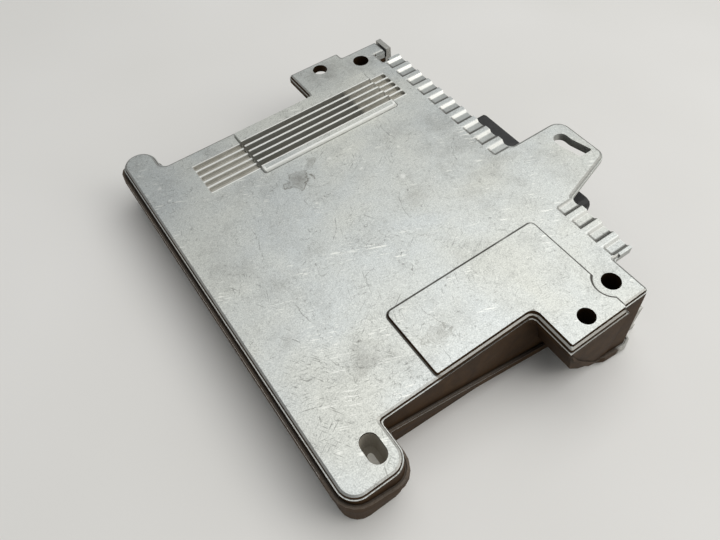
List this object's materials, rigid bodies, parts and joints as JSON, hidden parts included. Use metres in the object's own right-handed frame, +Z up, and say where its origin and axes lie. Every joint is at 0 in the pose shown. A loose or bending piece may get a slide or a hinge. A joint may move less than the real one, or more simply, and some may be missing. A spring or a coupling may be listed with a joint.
{
  "type": "engine control unit",
  "caption": "Engine control unit: wedge-shaped die-cast case with ears, finned pad, fluted lip with slotted tongue over a many-pin plug, flat cover and a board inside.",
  "frame": {"origin": "centre of the bounding box's bottom face, on the flat base that the case rests on", "axes": "+X from the closed side to the plug side, +Y from the front ear's side to the back side with the finned pad, +Z up from the base; the lid's top face slopes up by 6.5 degrees towards +X"},
  "size_m": [0.1848, 0.2032, 0.0473],
  "materials": {
    "case_casting": "matte rough-cast grey with scuffs, darker in the recesses",
    "cover_casting": "dull cast grey",
    "seal_rubber": "matte black",
    "screw_steel": "dull zinc plating",
    "board_laminate": "green solder mask",
    "black_plastic": "fine moulded grain",
    "pin_plating": "tin over brass, satin",
    "package_plastic": "moulded chip package",
    "lead_tin": "bright tin",
    "sheet_grey": "filled heat-transfer sheet",
    "can_aluminium": "drawn can with a thin sleeve",
    "film_plastic": "dipped plastic",
    "ceramic_tan": "fired ceramic",
    "ferrite_grey": "fired ferrite",
    "copper_wire": "lacquered copper wire",
    "resistance_metal": "rolled strip"
  },
  "bodies": {
    "root": {"upper_housing": "case_casting", "lower_cover": "cover_casting", "cover_seal": "seal_rubber", "cover_screws": "screw_steel", "circuit_board": "board_laminate", "board_screws": "screw_steel", "connector_shell": "black_plastic", "connector_pins": "pin_plating", "connector_seal": "seal_rubber", "microcontroller": "package_plastic", "memory_socket": "black_plastic", "program_memory": "package_plastic", "output_drivers": "package_plastic", "input_conditioners": "package_plastic", "chip_leads": "lead_tin", "power_transistors": "package_plastic", "transistor_tabs": "lead_tin", "transistor_insulators": "sheet_grey", "transistor_clamps": "screw_steel", "clamp_spacers": "screw_steel", "clamp_screws": "screw_steel", "electrolytic_capacitors": "can_aluminium", "film_capacitors": "film_plastic", "ceramic_capacitors": "ceramic_tan", "chip_resistors": "package_plastic", "crystal": "lead_tin", "inductor_cores": "ferrite_grey", "inductor_windings": "copper_wire", "shunt_resistors": "resistance_metal", "diodes": "package_plastic", "voltage_regulator": "package_plastic"}
  },
  "joints": []
}
